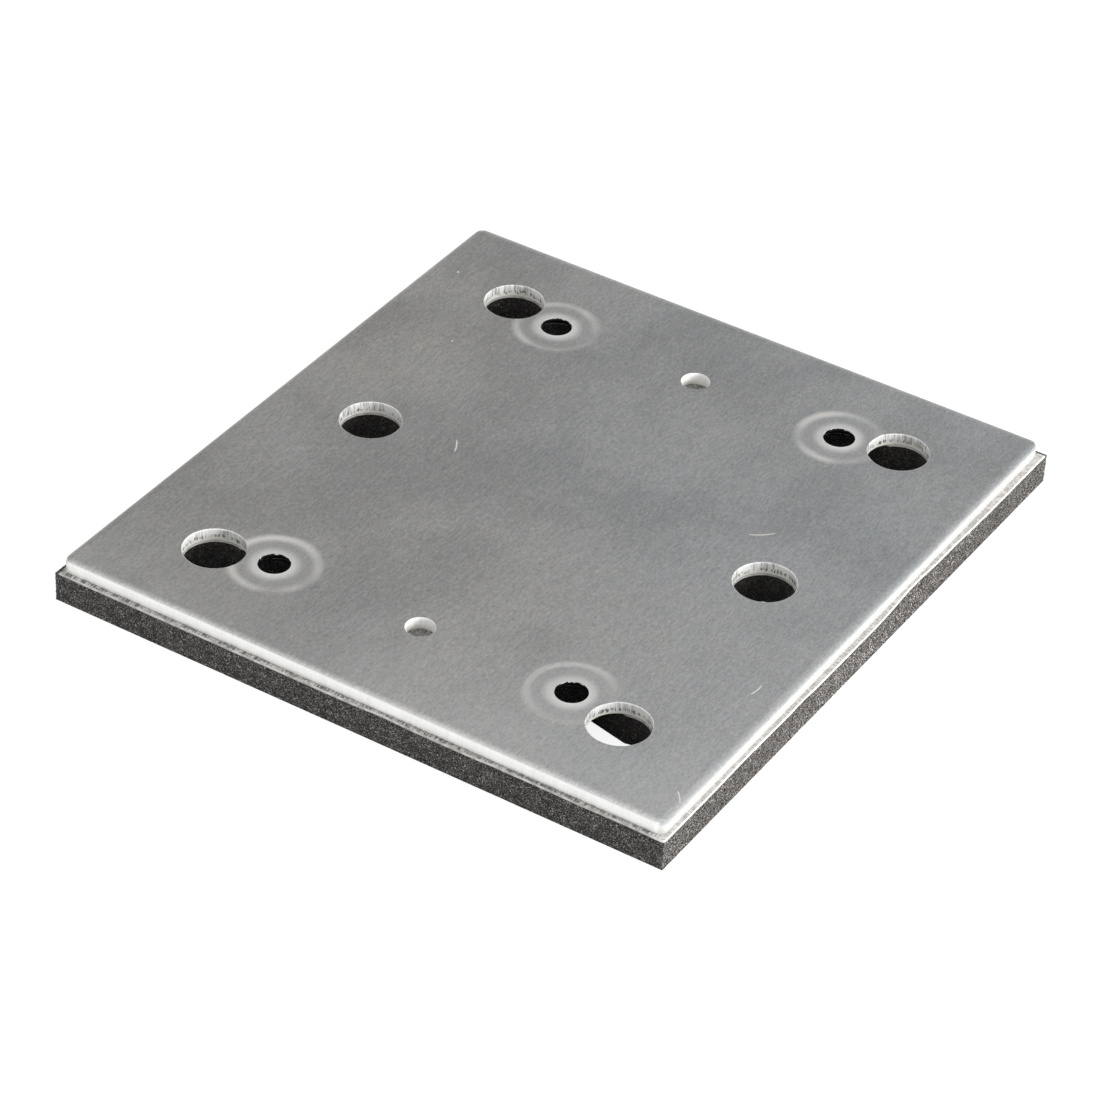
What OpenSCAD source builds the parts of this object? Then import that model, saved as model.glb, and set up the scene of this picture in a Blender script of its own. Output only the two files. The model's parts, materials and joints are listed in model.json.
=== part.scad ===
// Backing plate with a bonded foam pad, for an orbital sheet sander.
// +Z is up, the pad's underside lies on z = 0, and the origin is the middle of that underside.
// X runs across the plate and Y along it, and all sizes are in millimetres.

/* [Plate] */
// Width of the punched metal plate, along X
plate_w = 100; // [92:1:130]
// Length of the plate, along Y
plate_l = 108; // [100:1:140]
// Thickness of the sheet
plate_t = 2.0; // [1.8:0.1:3.0]
// Radius of the plate's corners, seen from above
corner_r = 1.5; // [1.0:0.1:6.0]
// Radius of the rolled-over upper edge that the punch leaves
edge_roll = 0.5; // [0.2:0.1:0.8]
// Width of the rim over which the press drew the top gently down, inside the plate's edge
fall_w = 1.3; // [0.9:0.1:1.5]
// How far that rim falls, measured at the plate's edge
fall_h = 0.12; // [0.04:0.01:0.20]

/* [Dust holes] */
// Diameter of the six dust holes
dust_d = 9.3; // [6.0:0.1:10.0]
// Distance between the two rows of dust holes, across X
dust_row_gap = 68; // [64:0.5:72]
// Distance from the first to the last hole of a row, along Y
dust_row_l = 78.5; // [74:0.5:82]
// Number of dust holes in a row
dust_per_row = 3; // [2:1:4]
// Radius of the rolled-over rim of each dust hole
dust_roll = 0.3; // [0.1:0.1:0.5]

/* [Screw holes] */
// Diameter of the four screw holes
screw_d = 4.8; // [4.0:0.1:5.5]
// Distance between the screw holes across X
screw_gap_x = 50; // [46:0.5:54]
// Distance between the screw holes along Y
screw_gap_y = 74.5; // [70:0.5:78]
// Depth of the countersink that takes the screw head, from the plate's underside
sink_h = 1.55; // [1.0:0.05:1.6]
// Slope of the countersink's wall from the screw's axis, in degrees
sink_slope = 45; // [40:1:50]
// Diameter of the coined seat round each screw hole, at the plate's top
seat_d = 13.0; // [11.5:0.1:14.0]
// Depth of the coined seat
seat_h = 0.08; // [0.05:0.01:0.15]
// Width of the sloping wall round the seat
seat_wall = 0.6; // [0.3:0.1:1.0]
// Diameter of the shallow flare that leads into the screw hole
flare_d = 8.0; // [6.5:0.1:9.0]
// Depth of that flare, below the seat
flare_h = 0.08; // [0.04:0.01:0.15]

/* [Locating holes] */
// Diameter of the two locating holes on the plate's long middle line
locate_d = 4.3; // [3.0:0.1:6.0]
// Distance between the locating holes
locate_gap = 74.5; // [60:0.5:90]
// Radius of the rolled-over rim of each locating hole
locate_roll = 0.4; // [0.1:0.1:0.6]

/* [Pad] */
// Thickness of the foam pad
foam_t = 4.7; // [3.0:0.1:10.0]
// How far the pad reaches past the plate on every side
ledge = 0.7; // [0.0:0.1:2.0]
// Width of the cut-out that leaves room for a screw head and its driver
head_way_w = 8.0; // [7.6:0.1:9.0]
// How much wider than the plate's dust holes the pad's dust ways are, all round
dust_clear = 0.0; // [0.0:0.05:0.5]

/* [Film] */
// Thickness of the adhesive film that bonds the pad to the plate
film_t = 0.3; // [0.1:0.05:0.6]
// Radius of the film's corners
film_corner_r = 1.0; // [0.5:0.1:3.0]

/* [Hidden] */
// The tip of a cutting shape past the face that it leaves
over = 1;
$fn = 96;

pad_w = plate_w + 2 * ledge;
pad_l = plate_l + 2 * ledge;
film_z = foam_t;
plate_z = foam_t + film_t;

// The falling rim is an arc that leaves the flat top without a kink and ends in the rolled edge
rim_w = min(fall_w, corner_r);
rim_r = (rim_w * rim_w + fall_h * fall_h) / (2 * fall_h);
rim_x = corner_r - rim_w;
rim_z = plate_t - rim_r;
roll_x = corner_r - edge_roll;
roll_z = rim_z + sqrt(pow(rim_r - edge_roll, 2) - pow(roll_x - rim_x, 2));
meet_x = rim_x + (roll_x - rim_x) * rim_r / (rim_r - edge_roll);

dust_r = dust_d / 2;
screw_r = screw_d / 2;
locate_r = locate_d / 2;
sink_r = screw_r + sink_h * tan(sink_slope);
seat_floor = plate_t - seat_h;
flare_floor = seat_floor - flare_h;

// Centres of the holes, seen from above
dust_at = [
    for (side = [-1, 1])
    for (i = [0 : dust_per_row - 1])
    [side * dust_row_gap / 2, (i / (dust_per_row - 1) - 0.5) * dust_row_l]
];
screw_at = [
    for (x = [-1, 1])
    for (y = [-1, 1])
    [x * screw_gap_x / 2, y * screw_gap_y / 2]
];
locate_at = [for (y = [-1, 1]) [0, y * locate_gap / 2]];
// The dust hole nearest to each screw shares one cut-out with it
end_dust_at = [
    for (x = [-1, 1])
    for (y = [-1, 1])
    [x * dust_row_gap / 2, y * dust_row_l / 2]
];

// Outline of a rectangle about the origin with round corners
module round_rect(w, l, r) {
    square([w - 2 * r, l], center = true);
    square([w, l - 2 * r], center = true);
    for (x = [-1, 1])
        for (y = [-1, 1])
            translate([x * (w / 2 - r), y * (l / 2 - r)])
                circle(r = r);
}

// Section through the plate's edge, from a corner's centre at x = 0 out to the rolled-over edge
module edge_section() {
    square([corner_r, roll_z]);
    square([rim_x, plate_t]);
    translate([roll_x, roll_z])
        circle(r = edge_roll);
    intersection() {
        square([meet_x, plate_t]);
        translate([rim_x, rim_z])
            circle(r = rim_r);
    }
}

// The plate before its holes: the edge section run along the four sides and round the four corners
module plate_blank() {
    in_x = plate_w / 2 - corner_r;
    in_y = plate_l / 2 - corner_r;
    translate([-in_x, -in_y, 0])
        cube([2 * in_x, 2 * in_y, plate_t]);
    for (side = [0, 180])
        rotate([0, 0, side]) {
            translate([in_x, in_y, 0])
                rotate([90, 0, 0])
                    linear_extrude(height = 2 * in_y)
                        edge_section();
            translate([-in_x, in_y, 0])
                rotate([90, 0, 90])
                    linear_extrude(height = 2 * in_x)
                        edge_section();
            translate([in_x, in_y, 0])
                rotate_extrude(angle = 90)
                    edge_section();
            translate([-in_x, in_y, 0])
                rotate([0, 0, 90])
                    rotate_extrude(angle = 90)
                        edge_section();
        }
}

// Cutting shape of a punched hole whose upper rim is rolled over
module rolled_hole(r, roll) {
    translate([0, 0, -over])
        cylinder(r = r, h = plate_t + 2 * over);
    rotate_extrude()
        translate([r, plate_t - roll])
            difference() {
                square([roll, roll + over]);
                translate([roll, 0])
                    circle(r = roll);
            }
}

// Cutting shape of a screw hole: countersink, short land, flare and coined seat, as one section
module screw_hole() {
    rotate_extrude()
        polygon([
            [0, -over],
            [sink_r, -over],
            [sink_r, 0],
            [screw_r, sink_h],
            [screw_r, flare_floor],
            [flare_d / 2, seat_floor],
            [seat_d / 2 - seat_wall, seat_floor],
            [seat_d / 2, plate_t],
            [seat_d / 2, plate_t + over],
            [0, plate_t + over]
        ]);
}

module backing_plate() {
    color([0.70, 0.71, 0.72])
        translate([0, 0, plate_z])
            difference() {
                plate_blank();
                for (p = dust_at)
                    translate(p)
                        rolled_hole(dust_r, dust_roll);
                for (p = locate_at)
                    translate(p)
                        rolled_hole(locate_r, locate_roll);
                for (p = screw_at)
                    translate(p)
                        screw_hole();
            }
}

// The pad's openings: a round way under each dust hole, with a straight-sided way on to each screw
module pad_ways() {
    for (p = dust_at)
        translate(p)
            circle(r = dust_r + dust_clear);
    for (i = [0 : len(screw_at) - 1]) {
        reach = end_dust_at[i] - screw_at[i];
        translate(screw_at[i]) {
            circle(d = head_way_w);
            rotate(atan2(reach[1], reach[0]))
                translate([0, -head_way_w / 2])
                    square([norm(reach), head_way_w]);
        }
    }
}

module adhesive_film() {
    color([0.86, 0.86, 0.84])
        translate([0, 0, film_z])
            linear_extrude(height = film_t)
                difference() {
                    round_rect(pad_w, pad_l, film_corner_r);
                    pad_ways();
                }
}

module foam_pad() {
    color([0.14, 0.14, 0.14])
        linear_extrude(height = foam_t)
            difference() {
                square([pad_w, pad_l], center = true);
                pad_ways();
            }
}

backing_plate();
adhesive_film();
foam_pad();
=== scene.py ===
"""Looks for a sander's backing plate: a punched aluminium sheet bonded to a black foam pad.

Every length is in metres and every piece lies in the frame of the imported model: X across the plate,
Y along it, +Z up, with the pad's underside on z = 0.
"""

import json
import math

import bmesh
import bpy
from mathutils import Matrix, Vector, noise


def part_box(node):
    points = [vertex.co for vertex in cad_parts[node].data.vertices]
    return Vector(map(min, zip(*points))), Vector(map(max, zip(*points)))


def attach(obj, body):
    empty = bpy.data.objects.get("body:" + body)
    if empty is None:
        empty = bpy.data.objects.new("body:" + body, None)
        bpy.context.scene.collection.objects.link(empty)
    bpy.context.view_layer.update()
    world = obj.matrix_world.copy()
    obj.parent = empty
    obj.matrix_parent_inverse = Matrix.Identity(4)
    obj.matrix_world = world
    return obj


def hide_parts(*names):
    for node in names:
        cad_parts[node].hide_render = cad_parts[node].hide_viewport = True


bl_info = {
    "name": "Sander Backing Plate",
    "version": (1, 0, 0),
    "blender": (4, 5, 0),
    "location": "3D View > Sidebar > Backing Plate",
    "description": "Builds a punched metal plate, its adhesive film and its foam pad",
    "category": "Add Mesh",
}

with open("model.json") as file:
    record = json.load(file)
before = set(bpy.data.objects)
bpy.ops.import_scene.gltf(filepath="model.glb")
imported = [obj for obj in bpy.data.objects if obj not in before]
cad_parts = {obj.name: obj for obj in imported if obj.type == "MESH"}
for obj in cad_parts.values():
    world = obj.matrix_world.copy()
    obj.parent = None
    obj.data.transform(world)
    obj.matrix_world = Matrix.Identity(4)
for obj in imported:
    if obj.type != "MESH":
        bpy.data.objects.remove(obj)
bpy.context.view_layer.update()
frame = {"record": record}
PLATE_LOW, PLATE_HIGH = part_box("backing_plate")
FILM_LOW, FILM_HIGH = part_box("adhesive_film")
PAD_LOW, PAD_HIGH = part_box("foam_pad")
RECORD = frame["record"]

MM = 0.001
# Points closer together than this are one point
SAME_POINT = 1e-7
# What is smaller than this counts as nothing
TINY = 1e-6
BODY = "root"


def length_setting(name, description, millimetres):
    """A length for the panel, with its default in millimetres."""
    return bpy.props.FloatProperty(
        name=name, description=description, default=millimetres * MM, unit="LENGTH"
    )


def angle_setting(name, description, degrees):
    """An angle for the panel, with its default in degrees."""
    return bpy.props.FloatProperty(
        name=name, description=description, default=math.radians(degrees), subtype="ANGLE"
    )


def colour_setting(name, description, default):
    """A colour for the panel."""
    return bpy.props.FloatVectorProperty(
        name=name, description=description, default=default, subtype="COLOR", min=0, max=1
    )


class PlateSizes(bpy.types.PropertyGroup):
    """Sizes of the punched plate and of the marks that the press leaves on it"""

    corner_r: length_setting("Corner radius", "Radius of the plate's corners, seen from above", 1.5)
    edge_roll: length_setting("Edge roll", "Radius of the rolled-over upper edge", 0.5)
    fall_w: length_setting("Fall width", "Width of the rim that falls gently towards the edge", 1.3)
    fall_h: length_setting("Fall depth", "How far that rim falls before the rolled edge", 0.12)
    dust_r: length_setting("Dust hole radius", "Radius of the six dust holes", 4.65)
    dust_roll: length_setting("Dust hole roll", "Radius of the rolled-over rim of a dust hole", 0.15)
    locate_roll: length_setting(
        "Locating hole roll", "Radius of the rolled-over rim of a locating hole", 0.12
    )
    sink_h: length_setting(
        "Countersink depth", "Depth of the countersink, from the plate's underside", 1.55
    )
    seat_r: length_setting("Seat radius", "Radius of the coined seat round a screw hole", 6.5)
    seat_h: length_setting("Seat depth", "Depth of the coined seat", 0.06)
    seat_wall: length_setting("Seat wall", "Width of the sloping wall round the seat", 1.3)
    flare_r: length_setting(
        "Flare radius",
        "Reach of the soft rise that the countersink's press left round a screw hole",
        4.0,
    )
    flare_h: length_setting("Flare height", "Height of that rise above the seat, at the hole", 0.06)
    burr: length_setting(
        "Burr", "How far the torn lower part of a punched wall strays from round", 0.05
    )


class PadSizes(bpy.types.PropertyGroup):
    """Sizes of the foam pad and of the film on it"""

    head_way_r: length_setting(
        "Screw way radius", "Half the width of the cut-out that leaves room for a screw head", 4.0
    )
    film_corner_r: length_setting("Film corner radius", "Radius of the film's front corner", 0.5)
    cell: length_setting("Foam cell", "Width of one cell of the foam", 0.42)
    cell_depth: length_setting("Cell depth", "How deep an open cell is in the pad's cut sides", 0.10)
    pitch: length_setting("Mesh pitch", "Distance between the points of the pad's cut sides", 0.22)


class Finishes(bpy.types.PropertyGroup):
    """Colours of the three materials"""

    metal: colour_setting("Metal", "Colour of the sheet's rolled face", (0.60, 0.605, 0.605))
    cut: colour_setting("Cut metal", "Colour of the bright punched walls", (0.92, 0.92, 0.90))
    film: colour_setting(
        "Film", "Colour of the adhesive film where it catches the light", (0.66, 0.64, 0.61)
    )
    foam: colour_setting("Foam", "Colour of the foam's cell walls", (0.0600, 0.0560, 0.0525))


class StageSizes(bpy.types.PropertyGroup):
    """The camera's place and the lights"""

    azimuth: angle_setting(
        "Azimuth", "Direction the camera looks from, turned from -Y towards +X", 30.80
    )
    elevation: angle_setting("Elevation", "Height of the camera above the horizon", 36.77)
    roll: angle_setting("Roll", "Turn of the camera about its own axis", 3.018)
    distance: length_setting("Distance", "From the camera to the point it looks at", 629.1)
    aim: bpy.props.FloatVectorProperty(
        name="Aim",
        description="The point the camera looks at",
        default=(3.68 * MM, -9.25 * MM, 5.0 * MM),
        subtype="TRANSLATION",
        unit="LENGTH",
    )
    lens: bpy.props.FloatProperty(
        name="Lens",
        description="Focal length in millimetres, for a 36 mm sensor",
        default=143.07,
    )
    floor_size: length_setting("Floor size", "Width of the floor", 8000.0)


def hole_centres():
    """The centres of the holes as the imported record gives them: screw, locating and dust holes."""
    dims = {m["name"]: m["dims"] for m in RECORD["mounts"]}
    screw = dims["screw_holes"]
    locate = dims["locating_holes"]
    screws = [
        Vector((x * screw["spacing_x_mm"], y * screw["spacing_y_mm"])) * MM / 2
        for x in (-1, 1)
        for y in (-1, 1)
    ]
    locates = [Vector((0, y * locate["spacing_y_mm"])) * MM / 2 for y in (-1, 1)]
    dust = []
    for opening in RECORD["physics"]["openings"]:
        if opening["name"].startswith("dust_way"):
            low, high = opening["box_m"]
            dust.append(Vector(((low[0] + high[0]) / 2, (low[1] + high[1]) / 2)))
    return screws, locates, dust


def hole_radius(mount):
    """The radius of a mount's holes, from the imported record."""
    dims = next(m["dims"] for m in RECORD["mounts"] if m["name"] == mount)
    return dims["hole_r_mm"] * MM


SCREWS, LOCATES, DUST = hole_centres()
SCREW_R = hole_radius("screw_holes")
LOCATE_R = hole_radius("locating_holes")


# Mesh helpers


def add_object(name, bm, materials):
    """A new object in the scene from a bmesh, with its materials."""
    mesh = bpy.data.meshes.new(name)
    bm.to_mesh(mesh)
    bm.free()
    for material in materials:
        mesh.materials.append(material)
    obj = bpy.data.objects.new(name, mesh)
    bpy.context.scene.collection.objects.link(obj)
    return obj


def settle(obj):
    """Applies an object's modifiers to its mesh."""
    graph = bpy.context.evaluated_depsgraph_get()
    finished = bpy.data.meshes.new_from_object(obj.evaluated_get(graph), depsgraph=graph)
    obj.modifiers.clear()
    old = obj.data
    obj.data = finished
    finished.name = obj.name
    bpy.data.meshes.remove(old)


def cut_away(obj, cutter):
    """Takes the cutter's solid out of the object and removes the cutter."""
    cut = obj.modifiers.new("cut", "BOOLEAN")
    cut.operation = "DIFFERENCE"
    cut.solver = "EXACT"
    cut.object = cutter
    settle(obj)
    # The cut can leave two points in one place, and faces fold over themselves there
    bm = bmesh.new()
    bm.from_mesh(obj.data)
    bmesh.ops.remove_doubles(bm, verts=bm.verts, dist=SAME_POINT)
    bm.to_mesh(obj.data)
    bm.free()
    mesh = cutter.data
    bpy.data.objects.remove(cutter)
    bpy.data.meshes.remove(mesh)


def arc(centre, radius, start, end, pitch):
    """Points along an arc, both ends included, no further apart than the pitch."""
    steps = max(2, math.ceil(abs(end - start) * radius / pitch))
    turns = [start + (end - start) * i / steps for i in range(steps + 1)]
    return [Vector((centre[0] + radius * math.cos(t), centre[1] + radius * math.sin(t))) for t in turns]


def line(start, end, pitch):
    """Points along a straight line, both ends included, no further apart than the pitch."""
    start, end = Vector(start), Vector(end)
    steps = max(1, math.ceil((end - start).length / pitch))
    return [start.lerp(end, i / steps) for i in range(steps + 1)]


def close_loop(bm, points, z):
    """A closed loop of edges through the points, at one height. Points that coincide are taken once."""
    kept = []
    for p in points:
        if not kept or (p - kept[-1]).length > SAME_POINT:
            kept.append(p)
    if (kept[0] - kept[-1]).length <= SAME_POINT:
        kept.pop()
    verts = [bm.verts.new((p.x, p.y, z)) for p in kept]
    return [bm.edges.new((a, b)) for a, b in zip(verts, verts[1:] + verts[:1])]


def of_kind(geometry, kind):
    """The vertices, edges or faces among what an operator made."""
    return [part for part in geometry if isinstance(part, kind)]


def round_edges(bm, edges, radius, segments, material):
    """Bevels edges to a round. A material of -1 takes the neighbouring faces' own."""
    bmesh.ops.bevel(
        bm, geom=edges, offset=radius, offset_type="OFFSET", segments=segments, profile=0.5,
        affect="EDGES", material=material,
    )


def raise_walls(bm, edges, heights):
    """Extrudes the loops upwards through the given heights and returns the last loops' edges."""
    for low, high in zip(heights, heights[1:]):
        made = bmesh.ops.extrude_edge_only(bm, edges=edges)["geom"]
        bmesh.ops.translate(bm, verts=of_kind(made, bmesh.types.BMVert), vec=(0, 0, high - low))
        edges = of_kind(made, bmesh.types.BMEdge)
    return edges


def smooth_shading(obj, angle):
    """Smooth faces, with the edges over the angle left sharp, and normals led by the flat faces."""
    obj.data.shade_smooth()
    obj.data.set_sharp_from_angle(angle=angle)
    weighted = obj.modifiers.new("normals", "WEIGHTED_NORMAL")
    weighted.mode = "FACE_AREA"
    weighted.weight = 80
    weighted.keep_sharp = True


# The wavy upper edge that the film and the pad share on the two front sides

# Each dip: how far along the side it lies, how wide it is and how far the edge falls back there
FRONT_DIPS = [
    (5.5 * MM, 3.2 * MM, 0.20 * MM),
    (24.0 * MM, 1.5 * MM, 0.10 * MM),
    (30.0 * MM, 6.0 * MM, 0.12 * MM),
    (44.0 * MM, 5.0 * MM, 0.14 * MM),
]
RIGHT_DIPS = [
    (-32.0 * MM, 8.0 * MM, 0.14 * MM),
    (-18.0 * MM, 4.0 * MM, 0.10 * MM),
    (14.5 * MM, 6.5 * MM, 0.44 * MM),
    (26.0 * MM, 6.0 * MM, 0.20 * MM),
]
# The ripples between the dips: their height, their two lengths, and where each side starts in the noise
WAVE = 0.03 * MM
SLOW_RIPPLE = 4 * MM
QUICK_RIPPLE = 0.9 * MM
FRONT_STARTS = (3.7, 5.3)
RIGHT_STARTS = (8.1, 1.9)
# The pad was laid on a little askew: its right side stands out, and most at the back
SKEW_FRONT = 0.04 * MM
SKEW_BACK = 0.42 * MM
# The film was squeezed out a little past the foam on the front side
FILM_OUT = 0.06 * MM


def skew(y):
    """How far the pad's right side stands out at a point along it."""
    share = (y - PAD_LOW.y) / (PAD_HIGH.y - PAD_LOW.y)
    return SKEW_FRONT + (SKEW_BACK - SKEW_FRONT) * share


def edge_wave(x, y):
    """How far the pad's cut upper edge falls back at a point of the front or right side."""
    if PAD_LOW.y - y > x - PAD_HIGH.x:
        along, dips, starts = x, FRONT_DIPS, FRONT_STARTS
    else:
        along, dips, starts = y, RIGHT_DIPS, RIGHT_STARTS
    back = sum(depth * math.exp(-(((along - at) / width) ** 2)) for at, width, depth in dips)
    slow = noise.noise(Vector((along / SLOW_RIPPLE, starts[0], 0)))
    quick = noise.noise(Vector((along / QUICK_RIPPLE, starts[1], 0)))
    return back + WAVE * (0.6 + slow) + 0.3 * WAVE * quick


def pad_way_loops(pitch, grow=0.0):
    """The outlines of the pad's openings: round in the middle, and keyhole shapes at the corners."""
    sizes = bpy.context.scene.plate_sizes
    way_r = bpy.context.scene.pad_sizes.head_way_r + grow
    dust_r = sizes.dust_r + grow
    loops = []
    for centre in DUST:
        near = min(SCREWS, key=lambda s: (s - centre).length)
        reach = centre - near
        if reach.length > dust_r + way_r + sizes.seat_r:
            loops.append(arc(centre, dust_r, 0, 2 * math.pi, pitch))
            continue
        turn = math.atan2(reach.y, reach.x)
        mouth = math.asin(way_r / dust_r)
        side = Vector((-math.sin(turn), math.cos(turn))) * way_r
        meet = Vector((math.cos(turn), math.sin(turn))) * (reach.length - dust_r * math.cos(mouth))
        head = arc(near, way_r, turn + math.pi / 2, turn + 3 * math.pi / 2, pitch)
        body = arc(centre, dust_r, turn - math.pi + mouth, turn + math.pi - mouth, pitch)
        out = line(near - side, near + meet - side, pitch)
        back = line(near + meet + side, near + side, pitch)
        loops.append(head + out[1:-1] + body + back[1:-1])
    return loops


# Node helpers

# Shader math with a single input
ONE_INPUT = ("ABSOLUTE", "SQRT", "ARCSINE")


class Graph:
    """Short calls for building a node tree."""

    def __init__(self, tree):
        self.tree = tree

    def put(self, socket, value):
        """Links a socket into an input, or sets the input's own value."""
        if isinstance(value, bpy.types.NodeSocket):
            self.tree.links.new(value, socket)
        else:
            socket.default_value = value

    def fill(self, node, values):
        """Sets or links a node's inputs, by name or number."""
        for key, value in values.items():
            self.put(node.inputs[key], value)

    def node(self, kind, values, **settings):
        """The outputs of a new node with its inputs filled."""
        made = self.tree.nodes.new(kind)
        for key, value in settings.items():
            setattr(made, key, value)
        self.fill(made, values)
        return made.outputs

    def math(self, operation, a, b=0.0):
        values = {0: a} if operation in ONE_INPUT else {0: a, 1: b}
        return self.node("ShaderNodeMath", values, operation=operation)[0]

    def plus(self, a, b):
        return self.math("ADD", a, b)

    def minus(self, a, b):
        return self.math("SUBTRACT", a, b)

    def times(self, a, b):
        return self.math("MULTIPLY", a, b)

    def sway(self, *parts):
        """One half, plus how far each value lies from one half times its own weight."""
        total = 0.5 - sum(weight for _, weight in parts) / 2
        for value, weight in parts:
            total = self.plus(total, self.times(value, weight))
        return total

    def part(self, vector, axis):
        """One part of a vector, by its letter."""
        return self.node("ShaderNodeSeparateXYZ", {0: vector})[axis]

    def length(self, a, b):
        """How far a point lies from the origin, from its two coordinates."""
        return self.math("SQRT", self.plus(self.times(a, a), self.times(b, b)))

    def scale(self, vector, factors):
        """A vector with each part multiplied by its own factor."""
        return self.node("ShaderNodeVectorMath", {0: vector, 1: factors}, operation="MULTIPLY")[0]

    def noise(self, vector, scale, detail=2.0, roughness=0.5):
        values = {"Vector": vector, "Scale": scale, "Detail": detail, "Roughness": roughness}
        return self.node("ShaderNodeTexNoise", values)["Fac"]

    def cells(self, vector, scale):
        """Cells about scattered points: the distance from each cell's point, and its own colour."""
        made = self.node("ShaderNodeTexVoronoi", {"Vector": vector, "Scale": scale})
        return made["Distance"], made["Color"]

    def span(self, value, low, high, to_low=0.0, to_high=1.0, smooth=True):
        """Maps low..high to to_low..to_high, held at both ends."""
        values = dict(enumerate((value, low, high, to_low, to_high)))
        kind = "SMOOTHSTEP" if smooth else "LINEAR"
        return self.node("ShaderNodeMapRange", values, interpolation_type=kind)[0]

    def mix(self, factor, a, b, blend="MIX"):
        """Mixes two colours."""
        values = {"Factor": factor, 6: a, 7: b}
        return self.node("ShaderNodeMix", values, data_type="RGBA", blend_type=blend)[2]

    def bump(self, height, distance, strength):
        values = {"Height": height, "Distance": distance, "Strength": strength}
        return self.node("ShaderNodeBump", values)["Normal"]

    def group(self, tree, **values):
        """The output of a node group in this tree, with its inputs set by name."""
        return self.node("ShaderNodeGroup", values, node_tree=tree)[0]


def shader_group(name, inputs, output, build):
    """The node group of that name, built on its first use. A tuple among the inputs is a vector."""
    if name in bpy.data.node_groups:
        return bpy.data.node_groups[name]
    tree = bpy.data.node_groups.new(name, "ShaderNodeTree")
    for label, default in inputs.items():
        kind = "NodeSocketVector" if isinstance(default, tuple) else "NodeSocketFloat"
        socket = tree.interface.new_socket(name=label, in_out="INPUT", socket_type=kind)
        socket.default_value = default
    tree.interface.new_socket(name=output, in_out="OUTPUT", socket_type="NodeSocketFloat")
    g = Graph(tree)
    result = build(g, g.node("NodeGroupInput", {}))
    g.node("NodeGroupOutput", {output: result})
    return tree


ORIGIN = (0.0, 0.0, 0.0)


def grain_group():
    """Short streaks drawn out along one axis, such as rolling grain or shear marks."""

    def build(g, given):
        fine = g.noise(g.scale(given["Vector"], given["Fine"]), 1.0, 2.0, 0.55)
        coarse = g.noise(g.scale(given["Vector"], given["Coarse"]), 1.0, 3.0, 0.6)
        values = {"Factor": given["Balance"], 2: coarse, 3: fine}
        return g.node("ShaderNodeMix", values, data_type="FLOAT")[0]

    inputs = {
        "Vector": ORIGIN,
        "Fine": (3000.0, 900.0, 900.0),
        "Coarse": (900.0, 250.0, 250.0),
        "Balance": 0.6,
    }
    return shader_group("Drawn Grain", inputs, "Grain", build)


def speck_group():
    """Sparse small specks, as a mask: only a share of the cells hold one, each of its own size."""

    def build(g, given):
        away, own = g.cells(given["Vector"], given["Scale"])
        chosen = g.math("LESS_THAN", g.part(own, "X"), given["Share"])
        near = g.math("LESS_THAN", away, g.times(g.part(own, "Y"), given["Size"]))
        return g.times(chosen, near)

    inputs = {"Vector": ORIGIN, "Scale": 180.0, "Share": 0.1, "Size": 0.03}
    return shader_group("Dust Specks", inputs, "Mask", build)


def cloud_group():
    """Broad soft patches, from 0 to 1 about a half."""

    def build(g, given):
        return g.span(g.noise(given["Vector"], given["Scale"], 3.0, 0.5), 0.3, 0.7)

    return shader_group("Soft Clouds", {"Vector": ORIGIN, "Scale": 60.0}, "Cloud", build)


def scratch_group():
    """A short, slightly bowed scratch along X, as a mask that fades at both ends."""

    def build(g, given):
        share = g.math("DIVIDE", g.part(given["Vector"], "X"), given["Half"])
        sag = g.times(g.times(share, share), given["Bow"])
        beside = g.math("ABSOLUTE", g.minus(g.part(given["Vector"], "Y"), sag))
        across = g.span(g.math("DIVIDE", beside, given["Width"]), 0.4, 1.4, 1.0, 0.0)
        return g.times(across, g.span(g.math("ABSOLUTE", share), 0.6, 1.0, 1.0, 0.0))

    inputs = {"Vector": ORIGIN, "Half": 2.0 * MM, "Bow": 0.2 * MM, "Width": 0.11 * MM}
    return shader_group("Short Scratch", inputs, "Mask", build)


# Materials


def new_material(name):
    """A material with its graph, its Principled node and the object's own coordinates."""
    material = bpy.data.materials.new(name)
    material.use_nodes = True
    graph = Graph(material.node_tree)
    shader = material.node_tree.nodes["Principled BSDF"]
    return material, graph, shader, graph.node("ShaderNodeTexCoord", {})["Object"]


# Tones that the light and the handling give the pieces
COOL_TONE = (0.965, 1.0, 1.03, 1.0)
WARM_TONE = (1.03, 1.0, 0.95, 1.0)
RING_TONE = (0.95, 0.91, 0.86)
WARM_CUT = (0.90, 0.87, 0.81)
DUST_TONE = (0.92, 0.89, 0.84, 1.0)
WARM_GLOW = (0.98, 0.90, 0.82, 1.0)
FLECK_TONE = (0.56, 0.53, 0.50, 1.0)
GRIT_TONE = (0.40, 0.28, 0.18, 1.0)
DEEP_BLACK = (0.01, 0.01, 0.01, 1.0)
BLACK = (0.0, 0.0, 0.0, 1.0)
WHITE = (1.0, 1.0, 1.0, 1.0)


def tint(colour, factor):
    """A colour made lighter or darker by a factor, as four numbers."""
    return tuple(min(1.0, c * factor) for c in colour) + (1.0,)


def inwards(g, place, corner, axis):
    """How far a point lies inwards of a box's side, for a box that is centred on the origin."""
    return g.minus(getattr(corner, axis.lower()), g.math("ABSOLUTE", g.part(place, axis)))


def edge_distance(g, place, corner):
    """Distance inwards from the nearest upright side of a box that is centred on the origin."""
    return g.math("MINIMUM", inwards(g, place, corner, "X"), inwards(g, place, corner, "Y"))


def screw_distance(g, place):
    """Distance from the nearest screw hole's axis, from the symmetry of the hole pattern."""
    at = SCREWS[-1]
    return g.length(inwards(g, place, at, "X"), inwards(g, place, at, "Y"))


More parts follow.
